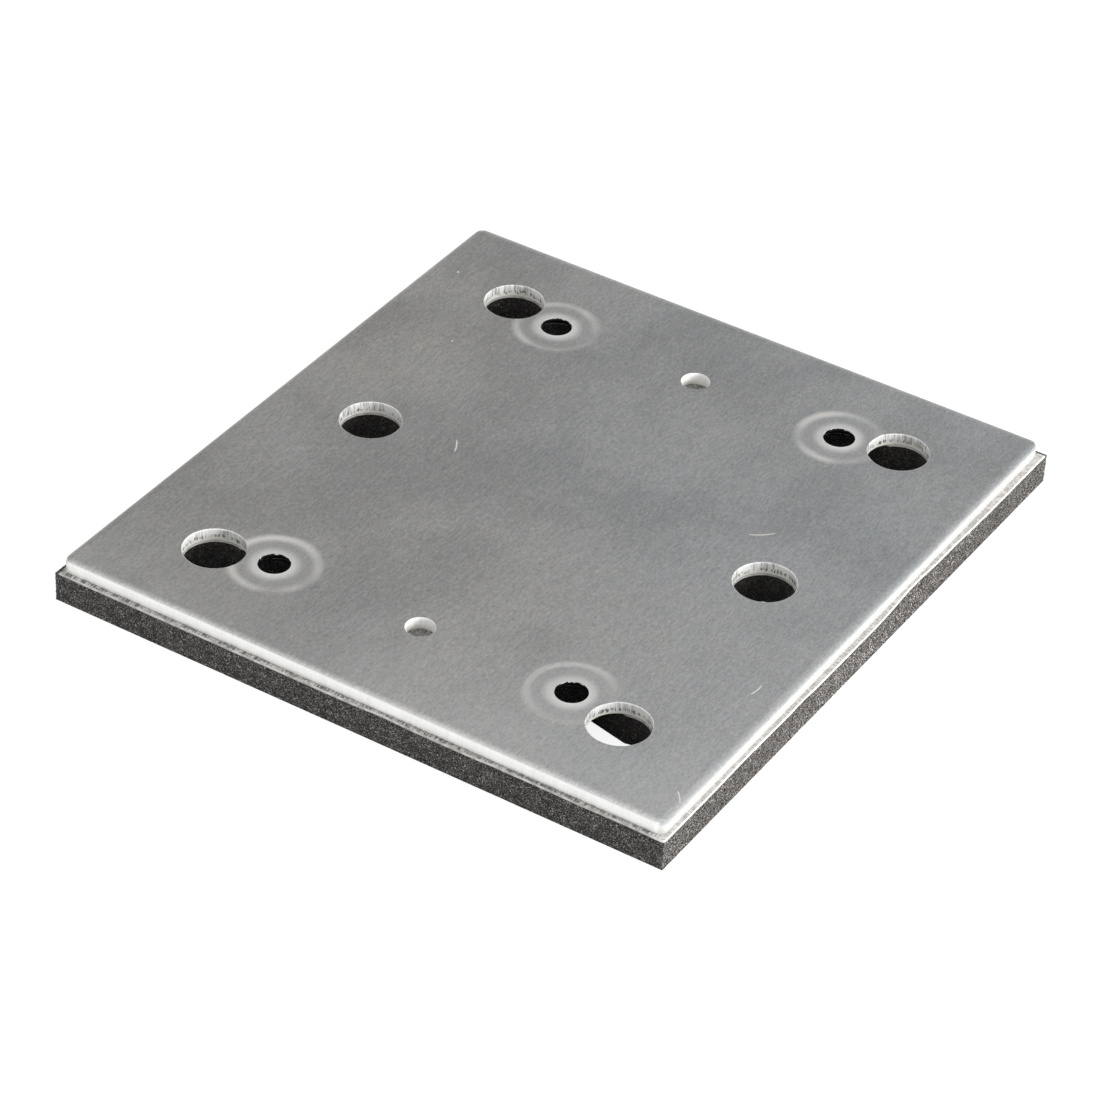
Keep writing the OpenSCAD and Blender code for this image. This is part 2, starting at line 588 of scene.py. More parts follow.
def face_metal():
    """Mill-finish aluminium: rolling grain along Y, soft clouds, painted sheen, pale press marks partly
    painted as highlight, dust, scratches.
    """
    finishes = bpy.context.scene.finishes
    sizes = bpy.context.scene.plate_sizes
    material, g, shader, place = new_material("plate_face")
    grain = g.group(
        grain_group(),
        Vector=place,
        Fine=(4600.0, 1300.0, 1300.0),
        Coarse=(2000.0, 380.0, 380.0),
        Balance=0.65,
    )
    scales = (50.0, 22.0, 480.0)
    cloud, patch, mottle = (g.group(cloud_group(), Vector=place, Scale=s) for s in scales)
    x, y = g.part(place, "X"), g.part(place, "Y")
    # Painted sheen: the near right corner, the front and the left are painted a little brighter
    painted_sheen = g.span(g.minus(x, y), 20.0 * MM, 104.0 * MM, 0.0, 0.13)
    painted_sheen = g.plus(painted_sheen, g.span(y, -54.0 * MM, -28.0 * MM, 0.14, 0.0))
    painted_sheen = g.plus(painted_sheen, g.span(x, -30.0 * MM, -12.0 * MM, 0.04, 0.0))
    shade = g.plus(g.sway((grain, 2.1), (cloud, 0.07), (patch, 0.06), (mottle, 0.05)), painted_sheen)
    base = g.mix(shade, tint(finishes.metal, 0.70), tint(finishes.metal, 1.30))
    # The sheet looks warmer at its front and left sides, and bluer at its right side
    slant = g.plus(x, g.times(y, 0.5))
    warm = g.span(slant, -60.0 * MM, 60.0 * MM, 0.85, 0.15)
    hue = g.sway((warm, 0.9), (patch, 0.35), (mottle, 0.35))
    toned = g.mix(1.0, base, g.mix(hue, COOL_TONE, WARM_TONE), "MULTIPLY")
    # Pale marks that stray a little from round, partly the press's polish and partly painted highlight:
    # the rise at the hole, and a ring along the seat's wall, brightest a little inside the seat's radius
    wander = g.times(g.minus(g.noise(place, 90.0, 1.0), 0.5), 0.9 * MM)
    away = g.plus(screw_distance(g, place), wander)
    flare = g.span(away, SCREW_R * 1.1, sizes.flare_r * 1.12, 1.0, 0.0)
    middle = sizes.seat_r - 0.22 * sizes.seat_wall
    rise = g.span(away, middle - 0.90 * sizes.seat_wall, middle)
    fall = g.span(away, middle, middle + 0.95 * sizes.seat_wall, 1.0, 0.0)
    # It bore harder on some stretches of the ring than on others
    pressure = g.span(g.noise(place, 120.0, 1.0), 0.35, 0.65, 0.25, 1.45)
    ring = g.times(g.math("MINIMUM", rise, fall), pressure)
    pressed = g.mix(g.times(fall, 0.30), toned, tint(finishes.cut, 0.90))
    seated = g.mix(g.times(ring, 0.31), pressed, tint(RING_TONE, 0.97))
    marked = g.mix(g.times(flare, 0.63), seated, tint(finishes.cut, 0.97))
    # The rim that falls towards the edge is a little brighter
    rim = g.span(edge_distance(g, place, PLATE_HIGH), 0.1 * MM, 1.6 * MM, 0.10, 0.0)
    rimmed = g.mix(rim, marked, tint(finishes.cut, 0.92))
    # On the back and left sides the roll itself catches a warm light
    nearest = g.math("MINIMUM", g.minus(PLATE_HIGH.y, y), g.minus(x, PLATE_LOW.x))
    glowing = g.mix(g.span(nearest, 0.05 * MM, 0.45 * MM, 0.75, 0.0), rimmed, WARM_GLOW)
    specks = g.group(speck_group(), Vector=place, Scale=190.0, Share=0.45, Size=0.045)
    marks = g.math("MAXIMUM", specks, scratches(g, place))
    # All these marks are duller than the sheet
    matt = g.math("MAXIMUM", g.times(ring, 0.12), g.times(flare, 0.20))
    matt = g.math("MAXIMUM", matt, g.times(marks, 0.38))
    g.fill(shader, {
        "Base Color": g.mix(g.times(marks, 0.85), glowing, DUST_TONE),
        "Metallic": 1.0,
        "Roughness": g.plus(g.span(cloud, 0.0, 1.0, 0.23, 0.27), matt),
        "Normal": g.bump(grain, 0.02 * MM, 0.6),
    })
    return material


# Each scratch on the top: its middle, the way it runs from +X in degrees, its length and its bow
SCRATCHES = [
    ((48.7 * MM, -47.7 * MM), 128.0, 2.8 * MM, 0.1 * MM),
    ((45.6 * MM, -22.0 * MM), 84.0, 3.0 * MM, 0.2 * MM),
    ((28.0 * MM, 9.5 * MM), 40.0, 4.5 * MM, 0.3 * MM),
    ((-20.0 * MM, 2.0 * MM), 118.0, 3.5 * MM, 0.2 * MM),
]


def scratches(g, place):
    """All scratches of the plate's top, as one mask."""
    marks = 0.0
    for (x, y), turn, length, bow in SCRATCHES:
        values = {"Vector": place, "Location": (x, y, 0.0), "Rotation": (0.0, 0.0, math.radians(turn))}
        along = g.node("ShaderNodeMapping", values, vector_type="TEXTURE")[0]
        mask = g.group(scratch_group(), Vector=along, Half=length / 2, Bow=bow)
        marks = g.math("MAXIMUM", marks, mask)
    return marks


def side_metal():
    """The plate's bright outer sides: faintly streaked from top to bottom, with a duller torn foot."""
    finishes = bpy.context.scene.finishes
    roll = bpy.context.scene.plate_sizes.edge_roll
    material, g, shader, place = new_material("plate_side")
    streaks = g.group(
        grain_group(),
        Vector=place,
        Fine=(4200.0, 4200.0, 300.0),
        Coarse=(1300.0, 1300.0, 400.0),
        Balance=0.5,
    )
    height = g.minus(g.part(place, "Z"), PLATE_LOW.z)
    stray = g.minus(g.noise(place, 900.0, 2.0, 0.6), 0.5)
    ragged = g.plus(height, g.times(stray, 0.3 * MM))
    smooth = g.mix(g.span(streaks, 0.3, 0.6), tint(finishes.cut, 0.96), tint(finishes.cut, 1.05))
    # On the long sides the punch tore less. The wall there is also painted darker, most of all at the
    # roll: painted shade
    on_long = g.span(inwards(g, place, PLATE_HIGH, "X"), 0.4 * MM, 1.2 * MM, 1.0, 0.0)
    wall_top = PLATE_HIGH.z - PLATE_LOW.z - roll
    upper = g.span(height, wall_top - 0.30 * MM, wall_top + 0.20 * MM, 0.72, 0.45)
    long_side_shade = g.minus(1.0, g.times(on_long, g.minus(1.0, upper)))
    torn = g.mix(g.span(streaks, 0.35, 0.6), tint(finishes.cut, 0.30), tint(finishes.cut, 0.62))
    tear = g.span(g.plus(ragged, g.times(on_long, 0.28 * MM)), 0.06 * MM, 0.24 * MM)
    g.fill(shader, {
        "Base Color": g.mix(tear, torn, g.mix(long_side_shade, BLACK, smooth)),
        "Metallic": 0.4,
        "Roughness": g.span(streaks, 0.3, 0.7, 0.45, 0.35),
        "Normal": g.bump(streaks, 0.02 * MM, 0.3),
    })
    return material


def hole_metal():
    """Punched hole walls: a streaked sheared band above a paler torn foot, with dark pits between."""
    finishes = bpy.context.scene.finishes
    sizes = bpy.context.scene.plate_sizes
    material, g, shader, place = new_material("plate_holes")
    streaks = g.group(
        grain_group(),
        Vector=place,
        Fine=(5200.0, 5200.0, 300.0),
        Coarse=(1500.0, 1500.0, 200.0),
        Balance=0.5,
    )
    # Heights here are shares of the sheet's thickness
    thick = PLATE_HIGH.z - PLATE_LOW.z
    height = g.math("DIVIDE", g.minus(g.part(place, "Z"), PLATE_LOW.z), thick)
    stray = g.noise(place, 1400.0, 2.0, 0.6)
    ragged = g.plus(height, g.times(g.minus(stray, 0.5), 0.5))
    # The shear marks are deep in some stretches of the wall and faint in others
    marked = g.span(g.noise(place, 330.0, 1.0), 0.38, 0.54, 0.15, 1.0)
    marks = g.times(g.span(streaks, 0.40, 0.58, 1.0, 0.0), marked)
    # The small locating holes, on the middle line, were punched clean
    off_middle = g.span(g.math("ABSOLUTE", g.part(place, "X")), LOCATE_R * 2, LOCATE_R * 3)
    marks = g.times(marks, g.math("MAXIMUM", off_middle, 0.35))
    sheared = g.mix(marks, tint(finishes.cut, 0.98), tint(finishes.cut, 0.40))
    torn = g.mix(g.noise(place, 3800.0, 2.0, 0.6), tint(WARM_CUT, 0.70), tint(WARM_CUT, 1.15))
    wall = g.mix(g.span(ragged, 0.30, 0.40), torn, sheared)
    # Pits lie where the shear ends and the tear begins
    near = g.math("MINIMUM", g.span(ragged, 0.18, 0.30), g.span(ragged, 0.40, 0.60, 1.0, 0.0))
    dashes = g.noise(g.scale(place, (4600.0, 4600.0, 800.0)), 1.0)
    pits = g.times(g.times(near, g.span(dashes, 0.50, 0.60)), off_middle)
    # Each screw hole is black, from its countersink to its ragged upper edge
    by_screw = g.span(screw_distance(g, place), SCREW_R * 1.55, SCREW_R * 1.60, 1.0, 0.0)
    sink_share = sizes.sink_h / thick
    above_sink = g.span(height, 0.02 * sink_share, 0.12 * sink_share)
    land_top = 1.0 - (sizes.seat_h - sizes.flare_h) / thick
    ragged_top = g.span(g.noise(place, 1500.0, 2.0, 0.7), 0.46, 0.64, 0.01, 0.11)
    below_ragged_top = g.math("LESS_THAN", g.plus(height, ragged_top), land_top)
    screw_black = g.times(g.times(by_screw, above_sink), below_ragged_top)
    metallic = g.times(g.span(ragged, 0.30, 0.40, 0.15, 0.30), off_middle)
    rough = g.sway((streaks, 0.8), (stray, 0.4))
    g.fill(shader, {
        "Base Color": g.mix(screw_black, g.mix(pits, wall, tint(finishes.cut, 0.08)), DEEP_BLACK),
        "Specular IOR Level": g.span(screw_black, 0.0, 1.0, 0.5, 0.0),
        "Metallic": g.times(metallic, g.minus(1.0, screw_black)),
        "Roughness": g.span(rough, 0.2, 0.8, 0.60, 0.38),
        "Normal": g.bump(rough, 0.05 * MM, 0.8),
    })
    return material


def film_face():
    """The film's upper face, drawn into streaks at right angles to each side."""
    film = bpy.context.scene.finishes.film
    material, g, shader, place = new_material("film_face")
    x = g.part(place, "X")
    on_right = g.math("GREATER_THAN", x, PLATE_HIGH.x)
    turned = g.node("ShaderNodeCombineXYZ", {"X": g.part(place, "Y"), "Y": x})[0]
    values = {"Factor": on_right, 4: place, 5: turned}
    along = g.node("ShaderNodeMix", values, data_type="VECTOR")[1]
    streaks = g.group(
        grain_group(),
        Vector=along,
        Fine=(4000.0, 700.0, 100.0),
        Coarse=(1400.0, 250.0, 100.0),
        Balance=0.8,
    )
    # The right side, and the front corner next to it, lie in full light
    corner = g.span(x, PLATE_HIGH.x - 2.5 * MM, PLATE_HIGH.x - 0.5 * MM)
    bright = g.math("MAXIMUM", on_right, corner)
    dark = g.mix(bright, tint(film, 0.17), tint(film, 0.55))
    light = g.mix(bright, tint(film, 0.80), tint(film, 0.92))
    marbled = g.sway((streaks, 1.2), (g.noise(place, 1500.0, 3.0, 0.6), 0.7))
    ledge = g.mix(g.span(marbled, 0.36, 0.64), dark, light)
    # Under the plate the clear film shows the dark pad below it
    inside = g.span(edge_distance(g, place, PLATE_HIGH), 0.5 * MM, 1.5 * MM)
    flecks = g.span(g.noise(place, 2600.0, 2.0, 0.6), 0.4, 0.7)
    clear = g.mix(flecks, tint(film, 0.12), tint(film, 0.60))
    g.fill(shader, {
        "Base Color": g.mix(inside, ledge, clear),
        "Roughness": g.span(streaks, 0.3, 0.7, 0.5, 0.3),
        "Normal": g.bump(streaks, 0.05 * MM, 0.6),
    })
    return material


def film_edge():
    """The film's cut edge, a bright line that breaks up here and there."""
    film = bpy.context.scene.finishes.film
    way_r = bpy.context.scene.pad_sizes.head_way_r
    material, g, shader, place = new_material("film_edge")
    breaks = g.noise(place, 900.0, 2.0)
    whole = g.span(breaks, 0.35, 0.6)
    in_light = g.span(g.part(place, "X"), PLATE_HIGH.x - 2.5 * MM, PLATE_HIGH.x)
    shaded = g.mix(whole, tint(film, 0.56), tint(film, 0.88))
    lit = g.mix(whole, tint(film, 0.85), tint(film, 1.15))
    # Round the screw ways the film's edge is black too
    screw_way_black = g.span(screw_distance(g, place), way_r * 1.05, way_r * 1.25, 1.0, 0.0)
    g.fill(shader, {
        "Base Color": g.mix(screw_way_black, g.mix(in_light, shaded, lit), DEEP_BLACK),
        "Roughness": g.span(breaks, 0.3, 0.7, 0.5, 0.3),
    })
    return material


def foam_material():
    """Black cellular rubber: pale flecks of many tones on dark walls, and unlit walls in the ways."""
    foam = bpy.context.scene.finishes.foam
    cell = bpy.context.scene.pad_sizes.cell
    material, g, shader, place = new_material("pad_foam")
    bend = g.noise(place, 1.6 / cell, 2.0)
    coarse, own_coarse = g.cells(place, 1.6 / cell)
    fine, own_fine = g.cells(place, 3.1 / cell)
    # A few cells are far brighter than the rest
    big = g.math("POWER", g.part(own_coarse, "X"), 3.4)
    small = g.math("POWER", g.part(own_fine, "Y"), 4.2)
    big = g.times(big, g.span(coarse, 0.15, 0.60, 1.0, 0.0))
    small = g.times(small, g.span(fine, 0.2, 0.7, 1.0, 0.0))
    bright = g.math("MAXIMUM", big, small)
    blotch = g.span(g.noise(place, 0.35 / cell, 2.0), 0.3, 0.7, 0.78, 1.22)
    # Painted light: the right side is painted a little paler, as though lit more strongly than the front
    lit_right = g.span(g.part(place, "X"), PAD_HIGH.x - 0.8 * MM, PAD_HIGH.x - 0.3 * MM)
    shade = g.times(g.span(bend, 0.35, 0.65, 0.05, 0.70), blotch)
    shade = g.times(shade, g.plus(g.times(lit_right, 0.7), 1.0))
    walls = g.mix(shade, BLACK, tint(foam, 1.0))
    flecked = g.times(blotch, g.plus(g.times(lit_right, 0.20), 0.90))
    grains = g.mix(g.times(bright, flecked), walls, FLECK_TONE)
    inside = g.span(edge_distance(g, place, PAD_HIGH), 0.8 * MM, 2.0 * MM, 0.0, 0.72)
    deep = g.mix(inside, grains, tint(foam, 0.05))
    specks = g.group(speck_group(), Vector=place, Scale=420.0, Share=0.04, Size=0.10)
    g.fill(shader, {
        "Base Color": g.mix(specks, deep, GRIT_TONE),
        "Roughness": g.span(bend, 0.3, 0.7, 0.95, 0.7),
        "Specular IOR Level": 0.3,
        "Normal": g.bump(g.minus(bright, coarse), 0.10 * MM, 0.6),
    })
    return material


# The pieces

# The plate's materials, by their place in its list
FACE, SIDE, HOLE = 0, 1, 2
# On the roll, faces whose normal rises more than this were not burnished, by short or long side
SHORT_BURNISH = 0.93
LONG_BURNISH = 0.42
# How far the cutters reach past the plate's faces
PAST = 1.0 * MM
# The torn foot of a punched wall: its share of the sheet, how far it widens, the share up to which its
# points stray, and the width and height of its teeth
TEAR_SHARE = 0.35
TEAR_OUT = 0.08 * MM
STRAY_SHARE = 0.4
TOOTH_W = 0.35 * MM
TOOTH_H = 0.6 * MM


def plate_blank():
    """The plate before its holes: a block with round corners, a gently falling rim and a rolled edge."""
    sizes = bpy.context.scene.plate_sizes
    bm = bmesh.new()
    size = PLATE_HIGH - PLATE_LOW
    size.z -= sizes.fall_h
    centre = (PLATE_HIGH + PLATE_LOW) / 2
    centre.z = PLATE_LOW.z + size.z / 2
    bmesh.ops.create_cube(bm, size=1.0, matrix=Matrix.Translation(centre) @ Matrix.Diagonal((*size, 1)))
    uprights = [e for e in bm.edges if abs(e.verts[0].co.z - e.verts[1].co.z) > size.z / 2]
    round_edges(bm, uprights, sizes.corner_r, segments=12, material=-1)
    for face in bm.faces:
        face.material_index = SIDE if abs(face.normal.z) < 0.5 else FACE
    top = max(bm.faces, key=lambda f: f.calc_center_median().z)
    outer = list(top.edges)
    # The rim falls along a parabola, so each inner ring rises less than the one before
    rings = 7
    for i in range(rings):
        start, end = i / rings, (i + 1) / rings
        rise = sizes.fall_h * ((1 - start) ** 2 - (1 - end) ** 2)
        bmesh.ops.inset_region(
            bm, faces=[top], thickness=sizes.fall_w / rings, depth=rise, use_even_offset=True
        )
    round_edges(bm, outer, sizes.edge_roll, segments=8, material=SIDE)
    bmesh.ops.recalc_face_normals(bm, faces=bm.faces)
    # The punch burnished only the steep part of the roll, and more of it on the short sides
    for face in bm.faces:
        on_short = abs(face.normal.y) > abs(face.normal.x)
        if face.normal.z > (SHORT_BURNISH if on_short else LONG_BURNISH):
            face.material_index = FACE
    return bm


def revolve(bm, section, centre, steps):
    """Turns a section of (radius, z, material index) points about an upright axis at the centre."""
    verts = [bm.verts.new((centre.x + r, centre.y, z)) for r, z, _ in section]
    edges = [bm.edges.new(pair) for pair in zip(verts, verts[1:])]
    before = set(bm.faces)
    bmesh.ops.spin(
        bm, geom=verts + edges, cent=(*centre, 0), axis=(0, 0, 1), angle=2 * math.pi, steps=steps,
        use_merge=True,
    )
    made = [f for f in bm.faces if f not in before]
    bmesh.ops.remove_doubles(bm, verts=list({v for f in made for v in f.verts}), dist=SAME_POINT)
    return [f for f in made if f.is_valid]


def mark_faces(faces, section):
    """Gives each revolved face the material index of its stretch of the section."""
    for face in faces:
        z = face.calc_center_median().z
        spans = [
            (abs(z - (a[1] + b[1]) / 2), b[2])
            for a, b in zip(section, section[1:])
            if a[1] != b[1]
        ]
        face.material_index = min(spans)[1]


def punched_section(radius, roll):
    """Section of a punched hole from below the plate to above it: torn foot, smooth wall, rolled rim."""
    low, high = PLATE_LOW.z, PLATE_HIGH.z
    tear_h = TEAR_SHARE * (high - low)
    foot_r = radius + TEAR_OUT
    section = [(0.0, low - PAST, HOLE), (foot_r, low - PAST, HOLE), (foot_r, low, HOLE)]
    rows = 5
    for i in range(1, rows + 1):
        section.append((radius + TEAR_OUT * (1 - i / rows), low + tear_h * i / rows, HOLE))
    for i in range(1, rows + 1):
        section.append((radius, low + tear_h + (high - roll - low - tear_h) * i / rows, HOLE))
    # The upper part of the rolled rim shows the sheet's own face
    steps, last_wall_step = 8, 5
    for i in range(1, steps + 1):
        turn = math.pi / 2 * i / steps
        out, up = roll * (1 - math.cos(turn)), roll * (1 - math.sin(turn))
        section.append((radius + out, high - up, FACE if i > last_wall_step else HOLE))
    section += [(radius + roll, high + PAST, FACE), (0.0, high + PAST, FACE)]
    return section


def screw_section():
    """Section of a screw hole and its seat, from below the plate to above it."""
    sizes = bpy.context.scene.plate_sizes
    low, high = PLATE_LOW.z, PLATE_HIGH.z
    floor = high - sizes.seat_h
    mouth = SCREW_R + sizes.sink_h
    section = [(0.0, low - PAST, HOLE), (mouth, low - PAST, HOLE), (mouth, low, HOLE)]
    section += [(SCREW_R, low + sizes.sink_h, HOLE), (SCREW_R, floor + sizes.flare_h, HOLE)]
    # The rise round the hole and the seat's wall are soft curves
    steps = 8
    for i in range(1, steps + 1):
        share = i / steps
        radius = SCREW_R + (sizes.flare_r - SCREW_R) * share
        section.append((radius, floor + sizes.flare_h * (1 - share) ** 3, FACE))
    steps = 10
    for i in range(0, steps + 1):
        share = i / steps
        ease = share * share * (3 - 2 * share)
        radius = sizes.seat_r + sizes.seat_wall * (share - 0.7)
        section.append((radius, floor + sizes.seat_h * ease, FACE))
    return section + [(section[-1][0], high + PAST, FACE), (0.0, high + PAST, FACE)]


def tear_wall(bm, centre, radius):
    """Roughens a wall's torn foot: points stray outwards and inwards by the burr, most at the foot."""
    burr = bpy.context.scene.plate_sizes.burr
    low = PLATE_LOW.z + 0.01 * MM
    high = PLATE_LOW.z + STRAY_SHARE * (PLATE_HIGH.z - PLATE_LOW.z)
    seed = centre.x + centre.y
    for v in bm.verts:
        out = Vector((v.co.x - centre.x, v.co.y - centre.y))
        if not low < v.co.z < high or abs(out.length - radius) > 0.5 * MM:
            continue
        share = (high - v.co.z) / (high - low)
        place = Vector((out.x, out.y, 0)) / TOOTH_W + Vector((seed, 0, v.co.z / TOOTH_H))
        v.co.xy += out.normalized() * burr * share * 2 * noise.noise(place)


def hole_cutters():
    """The shapes that the press takes out: first the screw holes with their seats, then the others."""
    sizes = bpy.context.scene.plate_sizes
    seats = bmesh.new()
    section = screw_section()
    for centre in SCREWS:
        mark_faces(revolve(seats, section, centre, 96), section)
    holes = bmesh.new()
    punches = [(DUST, sizes.dust_r, sizes.dust_roll), (LOCATES, LOCATE_R, sizes.locate_roll)]
    for centres, radius, roll in punches:
        section = punched_section(radius, roll)
        for centre in centres:
            mark_faces(revolve(holes, section, centre, 112), section)
            tear_wall(holes, centre, radius)
    for bm in (seats, holes):
        bmesh.ops.recalc_face_normals(bm, faces=bm.faces)
    return [add_object("seat_cutter", seats, []), add_object("hole_cutter", holes, [])]


class PLATE_OT_backing_plate(bpy.types.Operator):
    """Builds the punched aluminium plate with its rolled edges, dust holes and coined screw seats"""

    bl_idname = "backing_plate.make_plate"
    bl_label = "Backing Plate"

    def execute(self, context):
        plate = add_object("plate", plate_blank(), [face_metal(), side_metal(), hole_metal()])
        for cutter in hole_cutters():
            cut_away(plate, cutter)
        smooth_shading(plate, math.radians(40))
        settle(plate)
        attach(plate, BODY)
        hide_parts("backing_plate")
        return {"FINISHED"}


# Distance between the points of the film's outline, and the radius of its drawn-down lip
FILM_PITCH = 0.3 * MM
FILM_LIP = 0.12 * MM


class PLATE_OT_adhesive_film(bpy.types.Operator):
    """Builds the thin adhesive film, whose cut edge shows past the plate on the two front sides"""

    bl_idname = "backing_plate.make_film"
    bl_label = "Adhesive Film"

    def execute(self, context):
        pitch = FILM_PITCH
        corner_r = context.scene.pad_sizes.film_corner_r
        front, right = PAD_LOW.y, PAD_HIGH.x
        left, back = PLATE_LOW.x, PLATE_HIGH.y
        turn = Vector((right - corner_r, front + corner_r))
        outline = line((left, front), (turn.x, front), pitch)
        outline += arc(turn, corner_r, -math.pi / 2, 0, pitch)
        outline += line((right, turn.y), (right, back), pitch)
        outline += line((right, back), (left, back), pitch)
        outline += line((left, back), (left, front), pitch)
        for p in outline:
            if p.y < PLATE_LOW.y:
                p.y += edge_wave(p.x, front) - FILM_OUT
            if p.x > PLATE_HIGH.x:
                p.x += skew(p.y) - edge_wave(right, p.y)
        bm = bmesh.new()
        edges = close_loop(bm, outline, FILM_LOW.z)
        for loop in pad_way_loops(pitch):
            edges += close_loop(bm, loop, FILM_LOW.z)
        lids = bmesh.ops.triangle_fill(bm, use_beauty=True, use_dissolve=False, edges=edges)["geom"]
        bottom = of_kind(lids, bmesh.types.BMFace)
        made = bmesh.ops.extrude_face_region(bm, geom=bottom, use_keep_orig=True)["geom"]
        rise = (0, 0, FILM_HIGH.z - FILM_LOW.z)
        bmesh.ops.translate(bm, verts=of_kind(made, bmesh.types.BMVert), vec=rise)
        bmesh.ops.recalc_face_normals(bm, faces=bm.faces)
        for face in bm.faces:
            face.material_index = 1 if abs(face.normal.z) < 0.5 else 0
        # The cut drew the film's upper edge down into a round lip
        lip = []
        for edge in bm.edges:
            middle = (edge.verts[0].co + edge.verts[1].co) / 2
            past_plate = middle.y < PLATE_LOW.y or middle.x > PLATE_HIGH.x
            at_top = middle.z > FILM_HIGH.z - 0.01 * MM
            upright = [abs(face.normal.z) < 0.5 for face in edge.link_faces]
            if past_plate and at_top and any(upright) and not all(upright):
                lip.append(edge)
        round_edges(bm, lip, FILM_LIP, segments=3, material=1)
        film = add_object("film", bm, [film_face(), film_edge()])
        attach(film, BODY)
        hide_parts("adhesive_film")
        return {"FINISHED"}


# The cells grow shallow this close to the pad's upper and lower edges
CALM_RIM = 0.25 * MM
# How far down its sides the pad follows the film's wavy edge
WAVE_REACH = 2.2 * MM


def open_cells(bm, cell, depth):
    """Sinks the cut sides into open cells, and lets their upper edge follow the film's wavy edge."""
    bm.normal_update()
    top, bottom = PAD_HIGH.z, PAD_LOW.z
    moves = {}
    for v in bm.verts:
        out = Vector((v.normal.x, v.normal.y, 0))
        if out.length < TINY:
            continue
        out.normalize()
        pore = noise.noise(v.co / cell) + 0.5 * noise.noise(v.co * 2.1 / cell)
        inside = min(1.0, (v.co.z - bottom) / CALM_RIM, (top - v.co.z) / CALM_RIM)
        sink = depth * max(0.0, 0.45 + pore) * (0.25 + 0.75 * max(0.0, inside))
        share = max(0.0, (v.co.z - (top - WAVE_REACH)) / WAVE_REACH) ** 2
        move = -out * sink
        if abs(v.co.y - PAD_LOW.y) < TINY:
            move.y += edge_wave(v.co.x, PAD_LOW.y) * share
        if abs(v.co.x - PAD_HIGH.x) < TINY:
            move.x += skew(v.co.y) - edge_wave(PAD_HIGH.x, v.co.y) * share
        moves[v] = move
    for v, move in moves.items():
        v.co += move


class PLATE_OT_foam_pad(bpy.types.Operator):
    """Builds the black foam pad with open cells in its cut sides and its dust and screw ways"""

    bl_idname = "backing_plate.make_pad"
    bl_label = "Foam Pad"

    def execute(self, context):
        sizes = context.scene.pad_sizes
        (left, front), (right, back) = PAD_LOW.xy, PAD_HIGH.xy
        corners = [(left, front), (right, front), (right, back), (left, back)]
        outline = []
        for a, b in zip(corners, corners[1:] + corners[:1]):
            outline += line(a, b, sizes.pitch)
        bm = bmesh.new()
        edges = close_loop(bm, outline, PAD_LOW.z)
        # The ways start narrower, because the cells then sink into their walls
        for loop in pad_way_loops(sizes.pitch, -1.5 * sizes.cell_depth):
            edges += close_loop(bm, loop, PAD_LOW.z)
        height = PAD_HIGH.z - PAD_LOW.z
        rows = round(height / sizes.pitch)
        heights = [PAD_LOW.z + height * i / rows for i in range(rows + 1)]
        upper = raise_walls(bm, edges, heights)
        bmesh.ops.triangle_fill(bm, use_beauty=True, use_dissolve=False, edges=upper)
        bmesh.ops.triangle_fill(bm, use_beauty=True, use_dissolve=False, edges=edges)
        bmesh.ops.recalc_face_normals(bm, faces=bm.faces)
        open_cells(bm, sizes.cell, sizes.cell_depth)
        pad = add_object("pad", bm, [foam_material()])
        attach(pad, BODY)
        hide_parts("foam_pad")
        return {"FINISHED"}


# The stage

# The studio's grey part, low behind the object: its place and shape as angles, and its light
GREY_AZIMUTH = math.radians(40.0)
GREY_ELEVATION = math.radians(33.0)
GREY_CORE = math.radians(3.5)
GREY_REACH = math.radians(22.0)
GREY_WIDENING = 0.35
GREY_LIGHT = 0.25
DOME_LIGHT = 0.97
# The floor's paper, and how the camera sees it: a dark paper that glows
PAPER_DARK = (0.65, 0.65, 0.65, 1.0)
PAPER_LIGHT = (0.67, 0.67, 0.67, 1.0)
SEEN_PAPER = (0.24, 0.24, 0.24, 1.0)
SEEN_GLOW = 0.86
# The floor lies this far below the pad
FLOOR_DROP = 0.02 * MM


def floor_material():
    """A pale floor that looks white and still takes the object's shadow."""
    material, g, shader, place = new_material("floor_paper")
    rays = g.node("ShaderNodeLightPath", {})
    reflected = g.math("MAXIMUM", rays["Is Glossy Ray"], rays["Is Transmission Ray"])
    # Under the pad it is dark, and reflections in the holes show that
    open_floor = g.math("LESS_THAN", edge_distance(g, place, PAD_HIGH), 0.0)
    seen = g.math("MAXIMUM", rays["Is Camera Ray"], g.times(reflected, open_floor))
    paper = g.mix(g.noise(place, 30.0, 2.0), PAPER_DARK, PAPER_LIGHT)
    g.fill(shader, {
        "Base Color": g.mix(seen, paper, SEEN_PAPER),
        "Roughness": 1.0,
        "Specular IOR Level": 0.0,
    })
    glow = g.node("ShaderNodeEmission", {"Color": WHITE, "Strength": g.times(seen, SEEN_GLOW)})[0]
    both = g.node("ShaderNodeAddShader", {0: shader.outputs[0], 1: glow})[0]
    g.fill(material.node_tree.nodes["Material Output"], {"Surface": both})
    return material


def studio_world():
    """A soft white dome of light with one wide, softly edged grey part for the metal to show."""
    world = bpy.data.worlds.new("studio")
    bpy.context.scene.world = world
    world.use_nodes = True
    g = Graph(world.node_tree)
    direction = g.node("ShaderNodeTexCoord", {})["Generated"]
    to_left = g.times(g.part(direction, "X"), -1.0)
    azimuth = g.math("ARCTAN2", to_left, g.part(direction, "Y"))
    elevation = g.math("ARCSINE", g.part(direction, "Z"))
    aside = g.times(g.minus(azimuth, GREY_AZIMUTH), GREY_WIDENING)
    away = g.length(aside, g.minus(elevation, GREY_ELEVATION))
    g.fill(world.node_tree.nodes["Background"], {
        "Color": WHITE,
        "Strength": g.span(away, GREY_CORE, GREY_REACH, GREY_LIGHT, DOME_LIGHT, smooth=False),
    })


